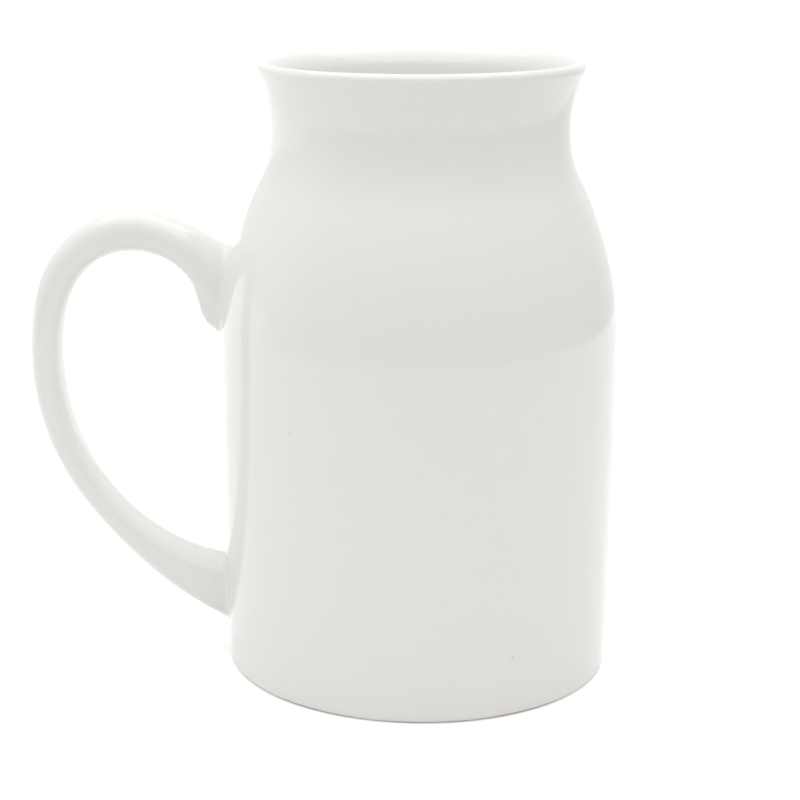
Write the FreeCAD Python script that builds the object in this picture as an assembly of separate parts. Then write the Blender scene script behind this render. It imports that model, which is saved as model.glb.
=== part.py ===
import FreeCAD, Part
import math
import os

# A glazed stoneware milk jug: a slip-cast bottle shape with a pulled loop handle.
# All lengths are in millimetres. The jug's axis is Z, its foot stands on Z = 0,
# and the handle reaches out along -X.

# ---- driving dimensions ----
HEIGHT = 130.0            # foot to the crest of the lip
BODY_R = 42.3             # widest radius, just under the shoulder
HEEL_R = 41.15            # radius where the wall leaves the heel
HEEL_ROUND = 1.0          # rounding between wall and foot
WALL = 3.44               # wall thickness from lip to floor
LIP_ROUND = WALL / 2.0    # the lip is a full round

SHOULDER_Z = 72.0         # where the wall starts to turn in
WAIST_Z = 116.6           # height of the narrowest place
WAIST_R = 31.5            # radius there
WAIST_ARC = 26.8          # radius of the concave neck

FLOOR_Z = 6.0             # top of the floor inside
FLOOR_ROUND = 9.0         # rounding between floor and wall inside
FOOT_WIDTH = 3.6          # width of the foot ring
FOOT_DEPTH = 1.6          # how far the base is set up inside the ring
FOOT_ROUND = 1.2          # rounding inside the ring

JOINT_ROUND = 1.5         # the glaze-filled joint between handle and body

CROWN = 0.60              # share of the handle's thickness that lies outside its widest line

# Each handle section: inner edge (x, z), outer edge (x, z), width across Y.
HANDLE_SECTIONS = [
    ((-37.6, 72.0), (-37.6, 90.4), 13.4),
    ((-43.0, 72.9), (-42.2, 91.6), 13.4),
    ((-46.7, 77.7), (-45.9, 93.9), 12.7),
    ((-48.2, 82.8), (-48.3, 95.2), 12.3),
    ((-51.2, 86.5), (-51.4, 96.5), 11.9),
    ((-61.6, 90.0), (-62.6, 98.9), 11.5),
    ((-71.6, 85.3), (-77.0, 90.9), 11.5),
    ((-76.4, 74.6), (-83.1, 75.8), 11.5),
    ((-76.9, 62.3), (-83.4, 61.8), 11.5),
    ((-74.0, 49.2), (-79.7, 46.8), 11.5),
    ((-67.3, 37.0), (-71.7, 33.1), 11.5),
    ((-57.8, 28.0), (-62.1, 22.3), 11.7),
    ((-48.0, 23.1), (-51.0, 13.0), 12.4),
    ((-43.0, 21.9), (-43.2, 8.4), 12.9),
    ((-37.6, 21.2), (-37.6, 6.8), 13.0),
]


def vec(x, z):
    """A point of the half profile, in the plane Y = 0."""
    return FreeCAD.Vector(x, 0.0, z)


def arc(cx, cz, radius, from_deg, to_deg):
    """A circular edge in the plane Y = 0, given by its centre and two angles from +X."""
    at = [math.radians(from_deg + (to_deg - from_deg) * t) for t in (0.0, 0.5, 1.0)]
    pts = [vec(cx + radius * math.cos(a), cz + radius * math.sin(a)) for a in at]
    return Part.Arc(*pts).toShape()


def line(a, b):
    return Part.makeLine(a, b)


def end(edge):
    return edge.valueAt(edge.LastParameter)


def start(edge):
    return edge.valueAt(edge.FirstParameter)


def revolve(edges):
    """Turn a closed profile once round Z into a solid."""
    face = Part.Face(Part.Wire(edges))
    return face.revolve(FreeCAD.Vector(0, 0, 0), FreeCAD.Vector(0, 0, 1), 360)


# ---- the places the arcs share ----
# the radius at which the convex shoulder just touches the concave neck
rise, step_in = WAIST_Z - SHOULDER_Z, BODY_R - WAIST_R
SHOULDER_ARC = (rise ** 2 + step_in ** 2) / (2 * step_in) - WAIST_ARC
shoulder_cx = BODY_R - SHOULDER_ARC
waist_cx = WAIST_R + WAIST_ARC
turn_deg = math.degrees(math.atan2(WAIST_Z - SHOULDER_Z, waist_cx - shoulder_cx))
# the lip's round touches the neck's arc on its outside
lip_cz = HEIGHT - LIP_ROUND
lip_cx = waist_cx - math.sqrt((WAIST_ARC + LIP_ROUND) ** 2 - (lip_cz - WAIST_Z) ** 2)
lip_deg = math.degrees(math.atan2(lip_cz - WAIST_Z, waist_cx - lip_cx))


def wall_arcs(inset):
    """Shoulder and neck arcs at a depth below the outer skin, from the bottom up."""
    neck_deg = 180.0 - lip_deg
    shoulder = arc(shoulder_cx, SHOULDER_Z, SHOULDER_ARC - inset, 0.0, turn_deg)
    neck = arc(waist_cx, WAIST_Z, WAIST_ARC + inset, 180.0 + turn_deg, neck_deg)
    return [shoulder, neck]


def side_curve():
    """The barely swelling side of the body, from the heel up to the shoulder."""
    side = Part.BSplineCurve()
    points = [vec(HEEL_R, HEEL_ROUND), vec(41.55, 12.0), vec(42.0, 30.0), vec(42.24, 50.0),
              vec(BODY_R, SHOULDER_Z)]
    side.interpolate(Points=points, InitialTangent=vec(0.05, 1.0), FinalTangent=vec(0.0, 1.0))
    return side.toShape()


def outer_solid():
    """The jug filled in: everything inside its outer skin."""
    heel = arc(HEEL_R - HEEL_ROUND, HEEL_ROUND, HEEL_ROUND, -90.0, 0.0)
    shoulder, neck = wall_arcs(0.0)
    lip = arc(lip_cx, lip_cz, LIP_ROUND, -lip_deg, 90.0)
    foot = start(heel)
    top = end(lip)
    edges = [line(vec(0, 0), foot), heel, side_curve(), shoulder, neck, lip]
    edges += [line(top, vec(0, top.z)), line(vec(0, top.z), vec(0, 0))]
    return revolve(edges)


def cavity_solid():
    """The space inside, from the floor up past the lip."""
    inside_r = BODY_R - WALL
    floor_r = HEEL_R - WALL
    shoulder, neck = wall_arcs(WALL)
    lip = arc(lip_cx, lip_cz, LIP_ROUND, 180.0 - lip_deg, 90.0)
    crest = end(lip)
    corner = arc(floor_r - FLOOR_ROUND, FLOOR_Z + FLOOR_ROUND, FLOOR_ROUND, -90.0, 0.0)
    side = line(end(corner), vec(inside_r, SHOULDER_Z))
    above = vec(crest.x, HEIGHT + 5.0)
    edges = [line(vec(0, FLOOR_Z), start(corner)), corner, side, shoulder, neck, lip]
    edges += [line(crest, above), line(above, vec(0, above.z)), line(vec(0, above.z), vec(0, FLOOR_Z))]
    return revolve(edges)


def foot_recess():
    """The shallow dish under the base that leaves the foot as a ring."""
    ring_in = HEEL_R - HEEL_ROUND - FOOT_WIDTH
    corner = arc(ring_in - FOOT_ROUND, FOOT_DEPTH - FOOT_ROUND, FOOT_ROUND, 0.0, 90.0)
    low = vec(ring_in, -1.0)
    edges = [line(vec(0, -1.0), low), line(low, start(corner)), corner]
    edges += [line(end(corner), vec(0, FOOT_DEPTH)), line(vec(0, FOOT_DEPTH), vec(0, -1.0))]
    return revolve(edges)


def across(width, turn):
    """The sideways part of a section's point, half the width at its widest."""
    return FreeCAD.Vector(0, 0.5 * width * math.sin(turn), 0)


def handle_section(inner, outer, width, count=16):
    """A strap section, crowned outside and flatter inside, through its two edge points."""
    a, b = vec(*inner), vec(*outer)
    widest = a + (b - a) * (1.0 - CROWN)
    points = []
    for i in range(count):
        turn = 2.0 * math.pi * i / count
        reach = (b if math.cos(turn) > 0 else a) - widest
        points.append(widest + reach * abs(math.cos(turn)) + across(width, turn))
    oval = Part.BSplineCurve()
    oval.interpolate(Points=points, PeriodicFlag=True)
    return Part.Wire(oval.toShape())


def handle_solid():
    """The loop, lofted through ovals that thicken towards the two roots."""
    wires = [handle_section(*s) for s in HANDLE_SECTIONS]
    return Part.makeLoft(wires, True, False)


def joint_edges(solid, body, handle):
    """The edges where the handle's skin meets the body's skin."""
    found = []
    for edge in solid.Edges:
        mid = edge.valueAt((edge.FirstParameter + edge.LastParameter) / 2.0)
        spot = Part.Vertex(mid)
        on_body = spot.distToShape(body.Shells[0])[0] < 0.01
        on_handle = spot.distToShape(handle.Shells[0])[0] < 0.01
        if on_body and on_handle and mid.x < -30.0:
            found.append(edge)
    return found


body = outer_solid()
handle = handle_solid()
print("handle", handle.isValid(), round(handle.Volume / 1000.0, 2), "cm3")
joined = body.fuse(handle)
seams = joint_edges(joined, body, handle)
print("joint edges", len(seams), [round(e.Length, 1) for e in seams])
joined = joined.makeFillet(JOINT_ROUND, seams)
print("joined", joined.isValid(), len(joined.Solids))
jug = joined.cut(cavity_solid()).cut(foot_recess())
jug = jug.Solids[0] if len(jug.Solids) == 1 else jug

print("valid", jug.isValid(), "solids", len(jug.Solids), "faces", len(jug.Faces))
print("volume", round(jug.Volume / 1000.0, 2), "cm3", "box", jug.BoundBox)
print("holds", round(cavity_solid().Volume / 1000.0, 1), "cm3 and a little more above the crest")

os.makedirs("parts", exist_ok=True)
jug.exportStep("parts/jug.step")
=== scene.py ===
# %% [markdown]
# # A glazed milk jug
# The jug is one piece of fired clay: a body cast in a mould, a strap handle stuck on
# while the clay was soft, and a white glaze over everything but the ring it stands on.
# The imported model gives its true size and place. This notebook gives it its skin.
# All work is in metres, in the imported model's own frame: the foot stands on Z = 0.

# %% Load the fixed frame
import math

import bpy
import numpy as np
from mathutils import Matrix, Vector
from mathutils.bvhtree import BVHTree


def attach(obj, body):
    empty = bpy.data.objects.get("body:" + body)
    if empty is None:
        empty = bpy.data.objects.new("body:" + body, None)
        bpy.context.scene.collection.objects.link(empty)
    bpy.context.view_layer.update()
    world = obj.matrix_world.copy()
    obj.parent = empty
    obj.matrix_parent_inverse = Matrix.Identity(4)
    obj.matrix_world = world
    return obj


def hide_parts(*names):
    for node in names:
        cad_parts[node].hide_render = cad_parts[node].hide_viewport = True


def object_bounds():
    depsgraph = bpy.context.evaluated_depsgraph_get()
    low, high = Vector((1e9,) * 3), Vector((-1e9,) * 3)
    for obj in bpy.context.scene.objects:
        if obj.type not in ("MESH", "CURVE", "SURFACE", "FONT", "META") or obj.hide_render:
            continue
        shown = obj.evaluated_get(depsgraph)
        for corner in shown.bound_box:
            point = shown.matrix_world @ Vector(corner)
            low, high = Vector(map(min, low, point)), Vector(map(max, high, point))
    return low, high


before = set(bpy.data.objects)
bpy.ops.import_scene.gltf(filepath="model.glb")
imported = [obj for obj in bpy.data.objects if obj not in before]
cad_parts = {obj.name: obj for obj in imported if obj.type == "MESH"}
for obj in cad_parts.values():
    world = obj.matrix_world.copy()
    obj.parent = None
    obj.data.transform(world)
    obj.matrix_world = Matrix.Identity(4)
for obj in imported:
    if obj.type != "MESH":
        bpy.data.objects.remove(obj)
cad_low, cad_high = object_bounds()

MM = 0.001
print("packed jug, mm:", [round(v / MM, 1) for v in (*cad_low, *cad_high)])

# %% [markdown]
# ## A helper for arcs
# The body's outline is mostly what a mould maker draws with compasses, so its stretches
# are arcs. The helper returns a whole array, so later steps never touch one point at a
# time.

# %% Arcs
def arc(centre, radius, start, stop, count):
    """Points on a circle: the centre plus the radius times the cosine and sine of
    evenly spaced angles, in degrees."""
    angle = np.radians(np.linspace(start, stop, count))
    return np.stack([centre[0] + radius * np.cos(angle), centre[1] + radius * np.sin(angle)], 1)


# %% [markdown]
# ## From a grid to a mesh
# A turned or swept form is a grid of points: rows run along it and columns run round
# it. The columns close on themselves. Where a form comes to a point, as at the middle
# of the floor, a single pole vertex closes the last row with a fan, so that the skin
# has no hole and light finds no slit.

# %% Grid to mesh
def skin(name, grid, first_pole, last_pole):
    """A closed mesh. Vertex (i, j) is row i, column j; each quad joins rows i and
    i + 1 with columns j and j + 1, counted round; a fan joins each end row to a pole."""
    rows, cols, _ = grid.shape
    index = np.arange(rows * cols).reshape(rows, cols)
    right = np.roll(index, -1, axis=1)
    quads = np.stack([index[:-1], right[:-1], right[1:], index[1:]], -1).reshape(-1, 4)
    first, last = rows * cols, rows * cols + 1
    fan_a = np.stack([np.full(cols, first), right[0], index[0]], -1)
    fan_b = np.stack([np.full(cols, last), index[-1], right[-1]], -1)
    points = np.concatenate([grid.reshape(-1, 3), [first_pole, last_pole]])
    mesh = bpy.data.meshes.new(name)
    mesh.from_pydata(points.tolist(), [], quads.tolist() + fan_a.tolist() + fan_b.tolist())
    mesh.polygons.foreach_set("use_smooth", np.ones(len(mesh.polygons), bool))
    mesh.update()
    piece = bpy.data.objects.new(name, mesh)
    bpy.context.scene.collection.objects.link(piece)
    print(name, "has", len(mesh.vertices), "points and", len(mesh.polygons), "faces")
    return piece


# %% [markdown]
# ## The body's profile
# A bottle shape like this is turned in plaster first, so its outline is a few simple
# curves that run smoothly into one another: a hardly swelling side, a wide shoulder, a
# narrow hollow neck and a lip that falls away inside. The inside follows the outside at
# the thickness the cast clay had. Drawing the whole outline as one line, from the middle
# of the base, round the lip and down to the middle of the floor, gives one closed skin.

# %% The body's sizes, in millimetres
HEIGHT = (cad_high.z - cad_low.z) / MM
BODY_R = cad_high.x / MM
HEEL_R, HEEL_ROUND, SIDE_POWER = 41.15, 1.0, 2.6
WALL = 3.44
LIP_TIGHT, LIP_FALL = 1.4, 3.4    # the lip is tight outside and falls away gently inside
LIP_LEVEL_PULL, LIP_DOWN_PULL = 3.2, 4.2    # how strongly its inside leaves level and lands
SHOULDER_Z = 72.0
WAIST_Z, WAIST_R, WAIST_ARC = 116.6, 31.5, 26.8
FLOOR_Z, FLOOR_ROUND = 6.0, 9.0
FOOT_WIDTH, FOOT_DEPTH, FOOT_ROUND = 3.6, 1.6, 1.2

# the radius at which the convex shoulder just touches the concave neck
rise, step_in = WAIST_Z - SHOULDER_Z, BODY_R - WAIST_R
SHOULDER_ARC = (rise ** 2 + step_in ** 2) / (2 * step_in) - WAIST_ARC
shoulder_centre = (BODY_R - SHOULDER_ARC, SHOULDER_Z)
waist_centre = (WAIST_R + WAIST_ARC, WAIST_Z)
turn = math.degrees(math.atan2(WAIST_Z - SHOULDER_Z, waist_centre[0] - shoulder_centre[0]))
lip_z = HEIGHT - LIP_TIGHT
lip_r = waist_centre[0] - math.sqrt((WAIST_ARC + LIP_TIGHT) ** 2 - (lip_z - WAIST_Z) ** 2)
lip_turn = math.degrees(math.atan2(lip_z - WAIST_Z, waist_centre[0] - lip_r))
print("shoulder turns into the neck at", round(turn, 1), "degrees, lip centre at", round(lip_r, 2))

# %% The outer line, from heel to lip
GLAZE_EDGE = -42.0    # the angle on the heel's round where the glaze was wiped away

# the side leaves the heel at a slant and straightens as a power of the height still to go
climb = np.linspace(0.0, 1.0, 44)
side = np.stack([BODY_R - (BODY_R - HEEL_R) * (1.0 - climb) ** SIDE_POWER,
                 HEEL_ROUND + (SHOULDER_Z - HEEL_ROUND) * climb], 1)
heel_centre = (HEEL_R - HEEL_ROUND, HEEL_ROUND)
bare_heel = arc(heel_centre, HEEL_ROUND, -90.0, GLAZE_EDGE, 7)
glazed_heel = arc(heel_centre, HEEL_ROUND, GLAZE_EDGE + 4.0, -3.0, 8)
shoulder = arc(shoulder_centre, SHOULDER_ARC, 0.0, turn, 44)
neck = arc(waist_centre, WAIST_ARC, 180.0 + turn, 180.0 - lip_turn, 48)
lip_outside = arc((lip_r, lip_z), LIP_TIGHT, -lip_turn, 90.0, 14)
outside = np.concatenate([glazed_heel, side, shoulder[1:], neck[1:], lip_outside[1:]])

# %% The inner line, from lip to the middle of the floor
# the inside of the lip leaves the crest level and meets the neck's inner arc along it
fall_turn = math.degrees(math.asin((HEIGHT - LIP_FALL - WAIST_Z) / (WAIST_ARC + WALL)))
inner_neck = arc(waist_centre, WAIST_ARC + WALL, 180.0 - fall_turn, 180.0 + turn, 36)
t = np.linspace(0.0, 1.0, 18)[:, None]
crest, landing = np.array([lip_r, HEIGHT]), inner_neck[0]
level_way = np.array([-1.0, 0.0]) * LIP_LEVEL_PULL
down_way = -np.array([math.sin(math.radians(fall_turn)), math.cos(math.radians(fall_turn))]) * LIP_DOWN_PULL
lip_inside = ((2 * t ** 3 - 3 * t ** 2 + 1) * crest + (t ** 3 - 2 * t ** 2 + t) * level_way
              + (3 * t ** 2 - 2 * t ** 3) * landing + (t ** 3 - t ** 2) * down_way)
inner_shoulder = arc(shoulder_centre, SHOULDER_ARC - WALL, turn, 0.0, 30)
floor_r = HEEL_R - WALL
well = np.linspace([BODY_R - WALL, SHOULDER_Z], [floor_r, FLOOR_Z + FLOOR_ROUND], 18)
corner = arc((floor_r - FLOOR_ROUND, FLOOR_Z + FLOOR_ROUND), FLOOR_ROUND, 0.0, -90.0, 16)
floor = np.linspace([floor_r - FLOOR_ROUND, FLOOR_Z], [1.5, FLOOR_Z], 12)
inside = np.concatenate([lip_inside[1:], inner_neck[1:], inner_shoulder[1:], well[1:],
                         corner[1:], floor[1:]])

# %% The line under the foot
ring_in = HEEL_R - HEEL_ROUND - FOOT_WIDTH
base = np.linspace([1.5, FOOT_DEPTH], [ring_in - FOOT_ROUND, FOOT_DEPTH], 10)
hollow = arc((ring_in - FOOT_ROUND, FOOT_DEPTH - FOOT_ROUND), FOOT_ROUND, 78.0, 8.0, 8)
ring = np.array([[ring_in, 0.22], [ring_in + 0.1, 0.07], [ring_in + 0.25, 0.0],
                 [ring_in + 1.2, 0.0], [ring_in + 2.4, 0.0]])
under = np.concatenate([base, hollow, ring, bare_heel])
profile = np.concatenate([under, outside, inside])
bare_rows = (len(base) + len(hollow), len(under))
print("profile points:", len(profile), "of which bare clay:", bare_rows[1] - bare_rows[0])

# %% [markdown]
# ## Turning the profile, and a hand's unevenness
# A perfect turned form looks machined, because its reflections run dead straight. Clay
# moves a little as it dries, so the real wall is a few hundredths of a millimetre out
# of round and faintly rippled. That is far too little to measure and enough to see in
# a gloss. The ripple always goes inwards, so the jug keeps its packed size.

# %% Wobble and the turned body
def wobble(round_angle, height):
    """A share of the radius to take off: two slow waves round the axis that drift with
    height, and one low ripple up the wall, added and kept positive."""
    oval = 1.0 + np.cos(2.0 * round_angle + 0.9 + 0.012 * height)
    slow = 1.0 + np.sin(3.0 * round_angle - 0.7 + 0.03 * height)
    ripple = 1.0 + np.sin(0.42 * height + 0.8 * np.sin(round_angle))
    return 0.00028 * oval + 0.00018 * slow + 0.00005 * ripple


def turned(line, count):
    """Each profile point (r, z) goes once round the axis: x and y are the radius, less
    the wobble, times the cosine and sine of the angle; z stays."""
    angle = np.linspace(0.0, 2.0 * np.pi, count, endpoint=False)[None, :]
    height = line[:, 1][:, None]
    # the lip and the foot were trimmed true, so the wobble fades out there
    true = np.clip((height - 2.0) / 12.0, 0, 1) * np.clip((HEIGHT - 4.0 - height) / 14.0, 0, 1)
    radius = line[:, 0][:, None] * (1.0 - wobble(angle, height) * true)
    return np.stack([radius * np.cos(angle), radius * np.sin(angle),
                     np.broadcast_to(height, radius.shape)], -1)


AROUND = 288
body_grid = turned(profile, AROUND)
# the wiped edge of the glaze wanders a little up and down as it goes round
angle = np.linspace(0.0, 2.0 * np.pi, AROUND, endpoint=False)
wander = 0.05 * np.sin(5 * angle + 0.4) + 0.035 * np.sin(11 * angle) + 0.02 * np.sin(23 * angle + 2)
edge_row = bare_rows[1] - 1
body_grid[edge_row:edge_row + 2, :, 2] += wander
body_grid[edge_row - 1, :, 2] += 0.5 * wander
jug_body = skin("jug_body", body_grid * MM, (0, 0, FOOT_DEPTH * MM), (0, 0, FLOOR_Z * MM))

# %% [markdown]
# ## The handle
# The handle is a strap that grows thicker towards both roots, where it carries the
# weight of a full jug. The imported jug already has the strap's run, so it is felt there
# and not drawn a second time. A straight probe starts in the handle's hole, meets the
# strap's inner edge and comes out at its outer edge. It stands upright near the roots
# and turns half way round in between. A smooth curve close to all the probes leaves out
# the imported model's small flat facets.

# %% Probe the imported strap
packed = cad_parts["jug"].data
solid = BVHTree.FromPolygons([v.co for v in packed.vertices],
                             [tuple(f.vertices) for f in packed.polygons])
HOLE_X, HOLE_Z = -52.0, 60.0    # a place well inside the handle's hole, in millimetres
ROOT_X = -45.0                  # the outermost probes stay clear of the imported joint's round
CROWN = 0.60                    # share of the thickness that lies outside the widest line
STAY_IN = 0.03                  # how far the skin keeps inside what was felt
OFF_SEAM, PAST_SKIN = 0.01, 0.5  # probes run beside the mesh's seam and restart under the skin
PROBES, ORDER = 240, 32
CHORD = 5                       # how many probes from each end the end slope is taken over


def touch(start, way):
    """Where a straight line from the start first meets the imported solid, in millimetres."""
    return np.array(solid.ray_cast(Vector(start) * MM, Vector(way))[0]) / MM


def probe(share):
    """Inner edge x and z, outer edge x and z, and width, at a share from -1 at the upper
    root to 1 at the lower. The start moves by the share's fourth power. The probe swings
    a quarter turn each way from level, by the sine of a quarter turn times the share."""
    lean = math.pi + 0.5 * math.pi * math.sin(0.5 * math.pi * share)
    way = np.array([math.cos(lean), 0.0, math.sin(lean)])
    inner = touch((HOLE_X + (ROOT_X - HOLE_X) * share ** 4, OFF_SEAM, HOLE_Z), way)
    outer = touch(inner + PAST_SKIN * way, way) - STAY_IN * way
    widest = outer + (inner - outer) * CROWN
    left, right = touch(widest, (0.0, 1.0, 0.0)), touch(widest, (0.0, -1.0, 0.0))
    return [inner[0], inner[2], outer[0], outer[2], left[1] - right[1] - 2 * STAY_IN]


shares = np.linspace(-1.0, 1.0, PROBES)
felt = np.array([probe(share) for share in shares])
strap_curve = np.polynomial.chebyshev.chebfit(shares, felt, ORDER)
# how much of each measured slope goes on into the wall, at the upper and the lower root
RUN_ON = np.array([[1.0, 0.5, 1.0, 0.85, 0.0], [1.0, 1.0, 1.0, 1.0, 0.0]])
chords = np.stack([felt[CHORD] - felt[0], felt[-1] - felt[-1 - CHORD]])
end_slope = RUN_ON * chords / (shares[CHORD] - shares[0])
smooth = np.polynomial.chebyshev.chebval(shares, strap_curve).T
print("strap felt at", PROBES, "places; the smooth curve leaves out at most",
      round(float(np.abs(smooth - felt)[:, :4].max()), 3), "mm")

# %% The strap as a surface
SQUARENESS = 2.5    # 2 would be an oval; more makes the faces flatter and the corners fuller


def strap(along, turn):
    """A point of the strap: start on the widest line, move towards the outer edge by
    the cosine of the turn, or towards the inner edge where the cosine is negative, and
    sideways by half the width times its sine. Both are raised to two over the
    squareness. Past either end it runs straight on along the end slope."""
    held = np.clip(along, -1.0, 1.0)
    row = np.moveaxis(np.polynomial.chebyshev.chebval(held, strap_curve), 0, -1)
    past = (along - held)[..., None]
    row = row + np.minimum(past, 0) * end_slope[0] + np.maximum(past, 0) * end_slope[1]
    inner, outer, width = row[..., 0:2], row[..., 2:4], row[..., 4]
    widest = outer + (inner - outer) * CROWN
    cos = (np.sign(np.cos(turn)) * np.abs(np.cos(turn)) ** (2.0 / SQUARENESS))[..., None]
    sin = np.sign(np.sin(turn)) * np.abs(np.sin(turn)) ** (2.0 / SQUARENESS)
    flat = widest + (outer - widest) * np.maximum(cos, 0) + (inner - widest) * np.maximum(-cos, 0)
    return np.stack([flat[..., 0], 0.5 * width * sin, flat[..., 1]], -1)


# %% [markdown]
# ## Where the strap meets the wall
# A potter scores both surfaces, presses the strap on with slip and smooths the joint
# with a wet finger. The glaze then gathers in the corner and rounds it off. To make
# that, every line along the strap is followed until it meets the wall. The strap stops
# short of that place, the wall is reached a little beyond it, and a curve that leaves
# along the one and arrives along the other fills the corner, as a ball rolled round the
# joint would.

# %% The outer wall as a function
outer_line = np.concatenate([bare_heel, outside])


def wall_radius(x, y, z):
    """The radius of the outer wall at a height, less its wobble in that direction."""
    true = np.clip((z - 2.0) / 12.0, 0, 1) * np.clip((HEIGHT - 4.0 - z) / 14.0, 0, 1)
    return np.interp(z, outer_line[:, 1], outer_line[:, 0]) * (1 - wobble(np.arctan2(y, x), z) * true)


def unit(v):
    """A vector divided by its own length."""
    return v / np.sqrt((v ** 2).sum(-1, keepdims=True))


def wall_normal(p):
    """Straight out from the axis, tipped back by the wall's slope at that height."""
    lean = (wall_radius(p[..., 0], p[..., 1], p[..., 2] + 0.2)
            - wall_radius(p[..., 0], p[..., 1], p[..., 2] - 0.2)) / 0.4
    out = unit(p * [1.0, 1.0, 0.0])
    return unit(out - lean[..., None] * np.array([0.0, 0.0, 1.0]))


def onto_wall(p, depth):
    """The point moved straight towards or away from the axis until it is that far under
    the wall's skin."""
    radius = wall_radius(p[..., 0], p[..., 1], p[..., 2]) - depth
    flat = unit(p * [1.0, 1.0, 0.0]) * np.asarray(radius)[..., None]
    return flat + p * [0.0, 0.0, 1.0]


# %% Follow each line of the strap to the wall
STRAP_AROUND = 96
DEEP, CLEAR = 1.24, 0.4    # each line is searched from this share inside the wall to this one outside
STEPS, WAY_STEPS = 900, 25    # steps of the search, and how many the leaving way is taken over
turns = np.linspace(0.0, 2.0 * np.pi, STRAP_AROUND, endpoint=False)


def root(backwards):
    """For each line of the strap: its place on the line and its point where it crosses
    the wall, the way it leaves the wall, and the way along the wall out of the joint."""
    along = np.linspace(-DEEP, -CLEAR, STEPS)
    if backwards:
        along = -along
    lines = strap(*np.broadcast_arrays(along[:, None], turns[None, :]))
    clear = np.hypot(lines[..., 0], lines[..., 1]) - wall_radius(*np.moveaxis(lines, -1, 0))
    cols = np.arange(STRAP_AROUND)
    after = np.argmax(clear > 0, axis=0)
    share = -clear[after - 1, cols] / (clear[after, cols] - clear[after - 1, cols])
    crossing = lines[after - 1, cols] + share[:, None] * (lines[after, cols] - lines[after - 1, cols])
    place = along[after - 1] + share * (along[after] - along[after - 1])
    leaving = unit(lines[after + WAY_STEPS, cols] - lines[after, cols])
    seam = np.roll(crossing, -1, axis=0) - np.roll(crossing, 1, axis=0)
    outward = unit(np.cross(seam, wall_normal(crossing)))
    if ((crossing - crossing.mean(0)) * outward).sum() < 0:
        outward = -outward
    return place, crossing, leaving, outward


upper, lower = root(False), root(True)
print("upper root runs from z", upper[1][:, 2].min().round(1), "to", upper[1][:, 2].max().round(1),
      "lower from", lower[1][:, 2].min().round(1), "to", lower[1][:, 2].max().round(1))

# %% The filled corner
def filled_corner(place, crossing, leaving, outward, ball, backwards):
    """A ball of the given radius touches strap and wall at equal distances from the
    corner: the radius over the tangent of half the open angle. Between those two
    places runs a cubic whose end slopes lie along strap and wall."""
    open_angle = np.arccos(np.clip((leaving * outward).sum(1), -0.95, 0.95))
    reach = ball / np.tan(open_angle / 2.0)
    per_place = np.sqrt(((strap(place + 0.002, turns) - strap(place, turns)) ** 2).sum(1)) / 0.002
    start_place = place + (-1.0 if backwards else 1.0) * reach / per_place
    start = strap(start_place, turns)
    nudge = -0.001 if backwards else 0.001
    start_way = -unit(strap(start_place + nudge, turns) - start)
    stop = onto_wall(crossing + outward * reach[:, None], 0.002)
    normal = wall_normal(stop)
    stop_way = unit(outward - (outward * normal).sum(1)[:, None] * normal)
    pull = (4.0 * ball * np.tan((np.pi - open_angle) / 4.0))[:, None]
    t = np.linspace(0.0, 1.0, 15)[1:, None, None]
    curve = ((2 * t ** 3 - 3 * t ** 2 + 1) * start + (t ** 3 - 2 * t ** 2 + t) * pull * start_way
             + (3 * t ** 2 - 2 * t ** 3) * stop + (t ** 3 - t ** 2) * pull * stop_way)
    # past the wall's skin the surface dips just under it, then closes inside the clay
    tails = [onto_wall(stop + stop_way * far, deep) for far, deep in ((0.2, 0.015), (0.6, 0.1))]
    middle = crossing.mean(0)
    tails.append(onto_wall(middle + (stop - middle) * 0.8, 1.6))
    return start_place, np.concatenate([curve, np.stack(tails)])


JOINT_BALL = 1.6 + 0.9 * np.sin(turns) ** 2
upper_start, upper_corner = filled_corner(*upper, JOINT_BALL, False)
lower_start, lower_corner = filled_corner(*lower, JOINT_BALL, True)

# %% The whole handle
FREE_ROWS = 260
t = np.linspace(0.0, 1.0, FREE_ROWS)[:, None]
free_strap = strap(upper_start + (lower_start - upper_start) * t,
                   np.broadcast_to(turns, (FREE_ROWS, STRAP_AROUND)))
handle_grid = np.concatenate([upper_corner[::-1], free_strap, lower_corner])[:, ::-1]
upper_heart = onto_wall(upper[1].mean(0), 2.0)
lower_heart = onto_wall(lower[1].mean(0), 2.0)
jug_handle = skin("jug_handle", handle_grid * MM, upper_heart * MM, lower_heart * MM)

# %% [markdown]
# ## Small tools for finishes
# A finish is a little graph of nodes. These two helpers add a node with its settings
# and join two sockets, so that each finish below reads as a list of what it does.

# %% Node helpers
def new_finish(name):
    """An empty node material with its output and one main shader."""
    finish = bpy.data.materials.new(name)
    finish.use_nodes = True
    tree = finish.node_tree
    return finish, tree, tree.nodes["Principled BSDF"]


def node(tree, kind, values=None, **settings):
    """A node of that kind, with its settings and unlinked socket values."""
    made = tree.nodes.new(kind)
    for key, value in settings.items():
        setattr(made, key, value)
    for key, value in (values or {}).items():
        made.inputs[key].default_value = value
    return made


def join(tree, source, output, target, into):
    """A wire from one node's output to another's input."""
    tree.links.new(source.outputs[output], target.inputs[into])


def seen_directly(tree):
    """1 for what the camera, a reflection or clear glass sees, and 0 for light on its way
    to a surface: three of Light Path's flags, added and held at 1."""
    path = node(tree, "ShaderNodeLightPath")
    two = node(tree, "ShaderNodeMath", operation="ADD")
    three = node(tree, "ShaderNodeMath", operation="ADD", use_clamp=True)
    join(tree, path, "Is Camera Ray", two, 0)
    join(tree, path, "Is Glossy Ray", two, 1)
    join(tree, two, "Value", three, 0)
    join(tree, path, "Is Transmission Ray", three, 1)
    return three, "Value"
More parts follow.
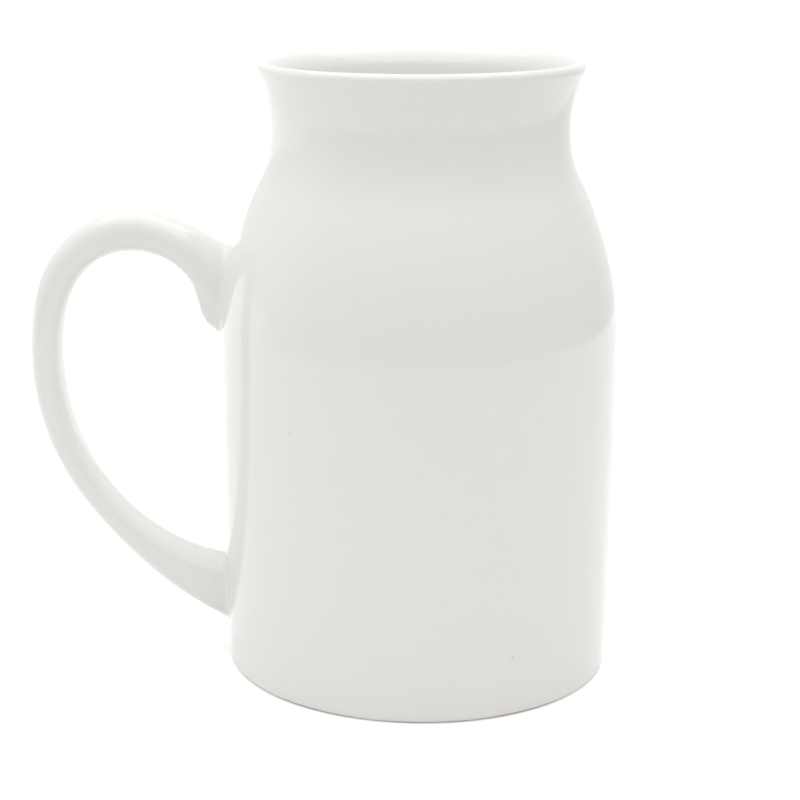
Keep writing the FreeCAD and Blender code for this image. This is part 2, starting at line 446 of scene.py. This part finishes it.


# %% [markdown]
# ## The white glaze
# This glaze is opaque, warm white and very glossy. Its colour hardly varies, but it
# isn't one flat colour either: it drifts a touch between two warm whites in slow random
# patches. A few iron specks are burnt into it. The specks are small dark balls at named
# places on the object, so they stay put from every side.

# %% Two tones of white
glaze, tree, shader = new_finish("white_glaze")
place = node(tree, "ShaderNodeTexCoord")
drift = node(tree, "ShaderNodeTexNoise", {"Scale": 26.0, "Detail": 2.0, "Roughness": 0.5})
join(tree, place, "Object", drift, "Vector")
# sockets 6 and 7 of a colour mix are its two colours, and 2 is its result
tone = node(tree, "ShaderNodeMix", {6: (0.912, 0.904, 0.872, 1), 7: (0.894, 0.885, 0.848, 1)},
            data_type="RGBA")
join(tree, drift, "Fac", tone, 0)

# %% Iron specks: x, y, z and size in millimetres
speck_places = [(19.63, -36.79, 12.9, 0.20), (-25.57, -33.63, 58.8, 0.14), (-58.6, -1.0, 30.2, 0.2),
                (31.0, 28.4, 41.0, 0.2), (-8.0, 41.3, 62.0, 0.18), (12.5, 40.2, 18.0, 0.22)]
mask, mask_out = None, None
for x, y, z, size in speck_places:
    far = node(tree, "ShaderNodeVectorMath", {1: (x * MM, y * MM, z * MM)}, operation="DISTANCE")
    join(tree, place, "Object", far, 0)
    spot = node(tree, "ShaderNodeMapRange", {"From Min": size * MM, "From Max": 2.2 * size * MM,
                                             "To Min": 1.0, "To Max": 0.0})
    join(tree, far, "Value", spot, "Value")
    if mask is None:
        mask, mask_out = spot, "Result"
    else:
        most = node(tree, "ShaderNodeMath", operation="MAXIMUM")
        join(tree, mask, mask_out, most, 0)
        join(tree, spot, "Result", most, 1)
        mask, mask_out = most, "Value"
strength = node(tree, "ShaderNodeMath", {1: 0.35}, operation="MULTIPLY")
join(tree, mask, mask_out, strength, 0)
speckled = node(tree, "ShaderNodeMix", {7: (0.42, 0.33, 0.24, 1)}, data_type="RGBA")
join(tree, strength, "Value", speckled, 0)
join(tree, tone, 2, speckled, 6)
join(tree, speckled, 2, shader, "Base Color")

# %% [markdown]
# ## The gloss
# A glaze is glass, so it reflects like glass and has no metal in it. It is almost a
# mirror, but never quite even: the coat settles in slow waves, with a fine orange peel
# on top, and where it cooled a little faster it is a shade less sharp.

# %% Gloss, waves and orange peel
shader.inputs["IOR"].default_value = 1.52
sheen = node(tree, "ShaderNodeTexNoise", {"Scale": 90.0, "Detail": 3.0, "Roughness": 0.55})
join(tree, place, "Object", sheen, "Vector")
rough = node(tree, "ShaderNodeMapRange", {"From Min": 0.3, "From Max": 0.7, "To Min": 0.06, "To Max": 0.11})
join(tree, sheen, "Fac", rough, "Value")
join(tree, rough, "Result", shader, "Roughness")
waves = node(tree, "ShaderNodeTexNoise", {"Scale": 55.0, "Detail": 1.0, "Roughness": 0.4})
peel = node(tree, "ShaderNodeTexNoise", {"Scale": 620.0, "Detail": 2.0, "Roughness": 0.5})
join(tree, place, "Object", waves, "Vector")
join(tree, place, "Object", peel, "Vector")
soft = node(tree, "ShaderNodeBump", {"Strength": 0.5, "Distance": 0.00012})
fine = node(tree, "ShaderNodeBump", {"Strength": 0.35, "Distance": 0.000012})
join(tree, waves, "Fac", soft, "Height")
join(tree, peel, "Fac", fine, "Height")
join(tree, soft, "Normal", fine, "Normal")
join(tree, fine, "Normal", shader, "Normal")

# %% [markdown]
# ## The bare foot
# The foot ring is wiped before the glaze firing, or the jug would fuse to the kiln
# shelf. It shows the clay itself: buff, dry and slightly sandy.

# %% Bare clay on the foot ring
clay, tree, shader = new_finish("bare_clay")
place = node(tree, "ShaderNodeTexCoord")
sand = node(tree, "ShaderNodeTexNoise", {"Scale": 2600.0, "Detail": 3.0, "Roughness": 0.7})
join(tree, place, "Object", sand, "Vector")
tone = node(tree, "ShaderNodeMix", {6: (0.34, 0.27, 0.215, 1), 7: (0.52, 0.43, 0.355, 1)},
            data_type="RGBA")
join(tree, sand, "Fac", tone, 0)
join(tree, tone, 2, shader, "Base Color")
shader.inputs["Roughness"].default_value = 0.88
grain = node(tree, "ShaderNodeBump", {"Strength": 0.6, "Distance": 0.00006})
join(tree, sand, "Fac", grain, "Height")
join(tree, grain, "Normal", shader, "Normal")

# %% Put the finishes on
jug_body.data.materials.append(glaze)
jug_body.data.materials.append(clay)
jug_handle.data.materials.append(glaze)
quad_rows = np.repeat(np.arange(len(profile) - 1), AROUND)
bare = ((quad_rows >= bare_rows[0] - 2) & (quad_rows < bare_rows[1])).astype(np.int32)
slots = np.concatenate([bare, np.zeros(2 * AROUND, np.int32)])
jug_body.data.polygons.foreach_set("material_index", slots)
print("faces of bare clay:", int(bare.sum()))

# %% [markdown]
# ## One object, in its own frame
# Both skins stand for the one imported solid, and both ride on its only body. Nothing
# moves on a jug, so that is all the frame asks for.

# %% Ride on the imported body
for piece in (jug_body, jug_handle):
    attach(piece, "root")
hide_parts("jug")

# %% [markdown]
# ## A white table
# A white product table lights itself as well as the object. Its own light is added
# only for what the camera and the reflections see, so the table reads as white while
# the jug still lays its small dark line where it touches down.

# %% The floor
def flat(name, corners):
    """A single four sided face through four corners."""
    mesh = bpy.data.meshes.new(name)
    mesh.from_pydata(corners, [], [(0, 1, 2, 3)])
    thing = bpy.data.objects.new(name, mesh)
    bpy.context.scene.collection.objects.link(thing)
    return thing


TABLE_GLOW = 0.34
table_top = flat("table_top", [(-6, -6, 0), (6, -6, 0), (6, 6, 0), (-6, 6, 0)])
white, tree, shader = new_finish("white_table")
shader.inputs["Base Color"].default_value = (0.9, 0.9, 0.9, 1)
shader.inputs["Roughness"].default_value = 0.9
# the lamps reach the far end of the table less, so it adds more of its own there
place = node(tree, "ShaderNodeTexCoord")
far = node(tree, "ShaderNodeVectorMath", operation="LENGTH")
join(tree, place, "Object", far, 0)
spread = node(tree, "ShaderNodeMapRange", {"From Min": 0.2, "From Max": 1.6, "To Min": TABLE_GLOW,
                                           "To Max": TABLE_GLOW + 0.4})
join(tree, far, "Value", spread, "Value")
glow = node(tree, "ShaderNodeMath", operation="MULTIPLY")
join(tree, *seen_directly(tree), glow, 0)
join(tree, spread, "Result", glow, 1)
shader.inputs["Emission Color"].default_value = (1, 1, 1, 1)
join(tree, glow, "Value", shader, "Emission Strength")
table_top.data.materials.append(white)

# %% [markdown]
# ## A white tent with one open side
# Small white things are set in a white tent, which lights them from all round. The
# tent has one opening, for the camera. Past it the room is dim, so the front of the jug
# is a shade greyer than its edges, and that difference is what shows its roundness. A
# curved screen stands in for the dim room. It brightens to the tent's white towards both
# ends and its top, so its reflection has no edge there. The camera doesn't see it.

# %% The tent
TENT = 0.6
world = bpy.data.worlds.new("white_tent")
bpy.context.scene.world = world
world.use_nodes = True
tree = world.node_tree
cloth = tree.nodes["Background"]
cloth.inputs["Color"].default_value = (1, 1, 1, 1)
level = node(tree, "ShaderNodeMapRange", {"To Min": TENT, "To Max": 1.0})
join(tree, *seen_directly(tree), level, "Value")
join(tree, level, "Result", cloth, "Strength")

# %% The dim room behind the camera
ROOM_LOW = 0.55                        # how bright the room looks at its dimmest
ROOM_LEFT, ROOM_RIGHT = -95.0, 150.0   # where it ends, in degrees round the jug
ROOM_FADE = 38.0                       # how far in from each end it fades
ROOM_TOP, ROOM_FULL = 0.7, 0.18        # its top, and the height up to which it is fully dim
ROOM_AWAY = 0.5


def ease(x):
    """0 below 0, 1 above 1, and a smooth S between: three x squared less two x cubed."""
    x = np.clip(x, 0.0, 1.0)
    return 3 * x ** 2 - 2 * x ** 3


bearing, up = np.meshgrid(np.linspace(ROOM_LEFT, ROOM_RIGHT, 70), np.linspace(0.0, ROOM_TOP, 30))
dimness = (ease((bearing - ROOM_LEFT) / ROOM_FADE) * ease((ROOM_RIGHT - bearing) / ROOM_FADE)
           * ease((ROOM_TOP - up) / (ROOM_TOP - ROOM_FULL)))
facing = np.radians(bearing)
spots = np.stack([ROOM_AWAY * np.sin(facing), -ROOM_AWAY * np.cos(facing), up], -1)
index = np.arange(bearing.size).reshape(bearing.shape)
faces = np.stack([index[:-1, :-1], index[:-1, 1:], index[1:, 1:], index[1:, :-1]], -1).reshape(-1, 4)
mesh = bpy.data.meshes.new("dim_room")
mesh.from_pydata(spots.reshape(-1, 3).tolist(), [], faces.tolist())
shade = mesh.attributes.new("room_level", "FLOAT", "POINT")
shade.data.foreach_set("value", (1.0 - (1.0 - ROOM_LOW) * dimness).ravel())
dim_room = bpy.data.objects.new("dim_room", mesh)
bpy.context.scene.collection.objects.link(dim_room)
dusk, tree, shader = new_finish("dusk")
shader.inputs["Base Color"].default_value = (0.0, 0.0, 0.0, 1)
shader.inputs["Specular IOR Level"].default_value = 0.0
shader.inputs["Emission Color"].default_value = (1, 1, 1, 1)
room_level = node(tree, "ShaderNodeAttribute", attribute_name="room_level")
join(tree, room_level, "Fac", shader, "Emission Strength")
dim_room.data.materials.append(dusk)
dim_room.visible_camera = False

# %% [markdown]
# ## Two soft boxes
# A wide one hangs overhead and a smaller one stands on the left. They are so wide and
# close that no shadow has an edge. The left one makes the handle's side of the jug a
# little lighter. Their levels are plain, so the glaze renders about as it is written.

# %% Lamps
def soft_box(name, place, aim, wide, high, glow, mirrored):
    """A rectangular lamp as bright as glow times white: its power is that radiance times its
    area times pi. It is turned so that its face looks at the aim. Where it isn't
    mirrored, the tent cloth in front of it is what shows in the glaze."""
    lamp = bpy.data.lights.new(name, "AREA")
    lamp.shape, lamp.size, lamp.size_y = "RECTANGLE", wide, high
    lamp.energy = glow * wide * high * math.pi
    box = bpy.data.objects.new(name, lamp)
    box.location = place
    box.rotation_mode = "QUATERNION"
    box.rotation_quaternion = (Vector(aim) - Vector(place)).to_track_quat("-Z", "Y")
    box.visible_glossy = mirrored
    bpy.context.scene.collection.objects.link(box)
    print(name, "gives", round(lamp.energy, 2), "W")
    return box


soft_box("overhead_box", (0.0, 0.0, 1.1), (0, 0, 0), 1.5, 1.5, 1.12, True)
soft_box("left_box", (-0.95, -0.1, 0.55), (0, 0, 0.07), 1.2, 0.8, 0.42, False)

# %% [markdown]
# ## The camera
# The camera looks down on the jug a little, from close enough for the near side of the
# rim to look clearly lower than the far side. It is aimed a little to the handle's side
# of the jug's axis, and the lens is shifted the other way.

# %% The camera
AWAY, ABOVE = 0.407887, 0.162573          # from the jug's axis and over the table, in metres
YAW, PITCH, ROLL = -2.835, 14.463, -0.262    # in degrees
FOCAL, SENSOR = 87.56, 36.0               # in millimetres
SHIFT = 0.09375                           # a share of the frame's width
yaw, pitch, roll = (math.radians(v) for v in (YAW, PITCH, ROLL))
ahead = Vector((math.sin(yaw) * math.cos(pitch), math.cos(yaw) * math.cos(pitch), -math.sin(pitch)))
level_right = Vector((math.cos(yaw), -math.sin(yaw), 0.0))
level_up = level_right.cross(ahead)
right = math.cos(roll) * level_right + math.sin(roll) * level_up
up = math.cos(roll) * level_up - math.sin(roll) * level_right
lens = bpy.data.cameras.new("camera")
camera = bpy.data.objects.new("camera", lens)
bpy.context.scene.collection.objects.link(camera)
turn_matrix = Matrix((right, up, -ahead)).transposed().to_4x4()
camera.matrix_world = Matrix.Translation((0.0, -AWAY, ABOVE)) @ turn_matrix
lens.sensor_width, lens.lens, lens.shift_x = SENSOR, FOCAL, SHIFT
lens.clip_start, lens.clip_end = 0.02, 30.0
bpy.context.scene.camera = camera
bpy.context.scene.view_settings.view_transform = "Standard"
print("camera stands", round(camera.location.length, 3), "m from the foot of the jug")
